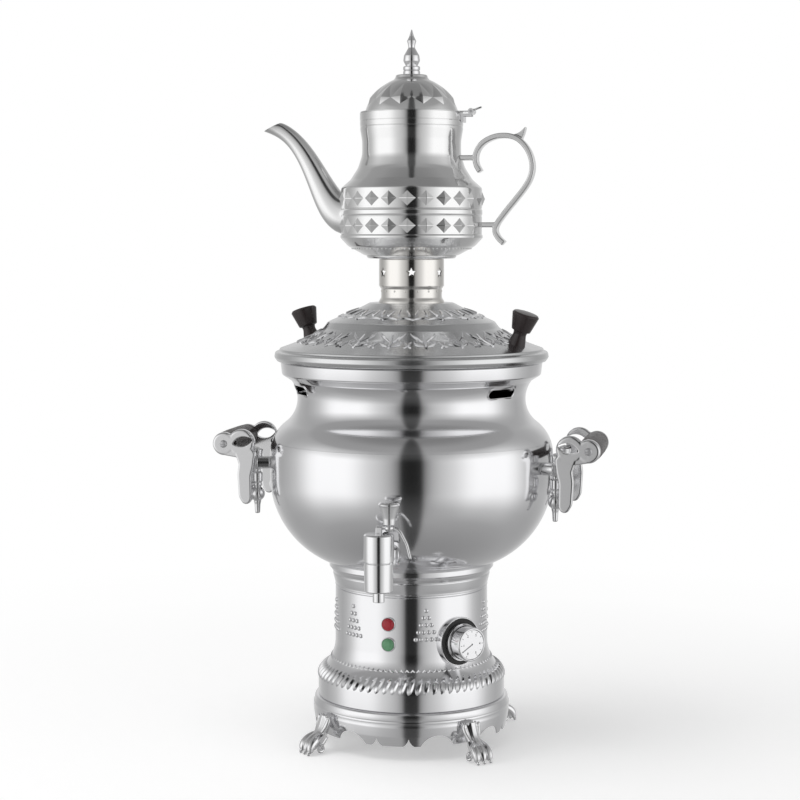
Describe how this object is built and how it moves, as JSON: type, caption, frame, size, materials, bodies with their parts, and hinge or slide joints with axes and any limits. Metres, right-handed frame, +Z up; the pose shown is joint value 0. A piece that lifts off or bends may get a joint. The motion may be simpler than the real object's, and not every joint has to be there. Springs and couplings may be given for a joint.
{
  "type": "electric samovar",
  "caption": "Electric samovar: steel water tank on a heated footed base with a lever tap, turning side grips and a lift-off lid whose steam crown carries a hinged-lid teapot.",
  "frame": {"origin": "the tank's axis where it meets the table", "axes": "+Z up along the tank's axis, -Y towards the tap, -X towards the teapot's spout"},
  "size_m": [0.3698, 0.2995, 0.6752],
  "materials": {
    "tank_steel": "mirror-polished stainless sheet",
    "base_steel": "mirror-polished stainless sheet",
    "teapot_steel": "mirror-polished stainless sheet with raised pyramids",
    "crown_steel": "polished pressed sheet with cut stars",
    "casting_chrome": "bright chrome plate on a zinc casting",
    "tap_chrome": "bright chrome plate on turned brass",
    "dial_chrome": "chrome-plated dial ring and knob",
    "fastener_steel": "bright zinc-plated steel",
    "plate_steel": "plain rolled sheet steel",
    "heater_sheath": "grey heat-dulled steel sheath",
    "gasket_rubber": "red silicone rubber",
    "seal_rubber": "black rubber",
    "bulb_copper": "drawn copper",
    "thermostat_case": "cream ceramic-filled plastic",
    "lens_red": "dark red lens",
    "lens_green": "muted green lens",
    "gland_plastic": "black moulded plastic",
    "grip_plastic": "glossy near-black bakelite"
  },
  "bodies": {
    "samovar": {"tank_bowl": "tank_steel", "tank_neck": "tank_steel", "tank_collar": "base_steel", "base_bell": "base_steel", "base_skirt": "base_steel", "foot_front_left": "casting_chrome", "foot_front_right": "casting_chrome", "foot_back_left": "casting_chrome", "foot_back_right": "casting_chrome", "foot_screws": "fastener_steel", "bottom_plate": "plate_steel", "bottom_screws": "fastener_steel", "tie_studs": "fastener_steel", "heating_element": "heater_sheath", "heater_gaskets": "gasket_rubber", "heater_nuts": "fastener_steel", "thermostat_body": "thermostat_case", "thermostat_bulb": "bulb_copper", "dial_ring": "dial_chrome", "lamp_red": "lens_red", "lamp_green": "lens_green", "terminal_block": "thermostat_case", "thermal_cutout": "plate_steel", "cord_gland": "gland_plastic", "tap_shank": "tap_chrome", "tap_gasket": "gasket_rubber", "tap_nut": "tap_chrome", "tap_body": "tap_chrome", "tap_nozzle": "tap_chrome", "tap_pin": "fastener_steel", "left_front_cheek": "casting_chrome", "left_back_cheek": "casting_chrome", "left_rod": "fastener_steel", "left_handle_screws": "fastener_steel", "right_front_cheek": "casting_chrome", "right_back_cheek": "casting_chrome", "right_rod": "fastener_steel", "right_handle_screws": "fastener_steel"},
    "tap_lever": {"tap_lever": "tap_chrome", "tap_knob": "tap_chrome"},
    "tap_valve": {"tap_stem": "fastener_steel", "tap_seal": "seal_rubber"},
    "thermostat_knob": {"thermostat_knob": "dial_chrome", "thermostat_shaft": "fastener_steel"},
    "left_grip": {"left_grip": "grip_plastic"},
    "right_grip": {"right_grip": "grip_plastic"},
    "lid": {"lid": "tank_steel", "lid_knob_left": "grip_plastic", "lid_knob_right": "grip_plastic", "lid_knob_screws": "fastener_steel", "crown": "crown_steel", "crown_ring": "crown_steel"},
    "teapot": {"teapot_body": "teapot_steel", "teapot_base": "teapot_steel", "spout": "teapot_steel", "teapot_handle": "teapot_steel", "teapot_hinge": "tap_chrome", "hinge_pin": "fastener_steel"},
    "teapot_lid": {"teapot_lid": "teapot_steel", "finial": "tap_chrome"}
  },
  "joints": [
    {"name": "tap_lever_pull", "type": "hinge", "parent": "samovar", "child": "tap_lever", "pos_m": [0, -0.151, 0.2175], "axis": [1, 0, 0], "range_deg": [0, 35]},
    {"name": "tap_valve_lift", "type": "slide", "parent": "samovar", "child": "tap_valve", "axis": [0, 0, 1], "range_m": [0, 0.001]},
    {"name": "thermostat_turn", "type": "hinge", "parent": "samovar", "child": "thermostat_knob", "pos_m": [0.05403, -0.04865, 0.106], "axis": [-0.7431, 0.6691, 0], "range_deg": [0, 270]},
    {"name": "left_grip_turn", "type": "hinge", "parent": "samovar", "child": "left_grip", "pos_m": [-0.1734, 0, 0.2855], "axis": [0, 1, 0], "continuous": true},
    {"name": "right_grip_turn", "type": "hinge", "parent": "samovar", "child": "right_grip", "pos_m": [0.1734, 0, 0.2855], "axis": [0, 1, 0], "continuous": true},
    {"name": "lid_lift", "type": "slide", "parent": "samovar", "child": "lid", "axis": [0, 0, 1], "range_m": [0, 0.15]},
    {"name": "teapot_lift", "type": "slide", "parent": "lid", "child": "teapot", "axis": [0, 0, 1], "range_m": [0, 0.12]},
    {"name": "teapot_lid_open", "type": "hinge", "parent": "teapot", "child": "teapot_lid", "pos_m": [0.0575, 0, 0.5983], "axis": [0, 1, 0], "range_deg": [0, 100]}
  ],
  "couplings": [
    {"joint": "tap_valve_lift", "follows": "tap_lever_pull", "m_per_rad": 0.00163}
  ]
}
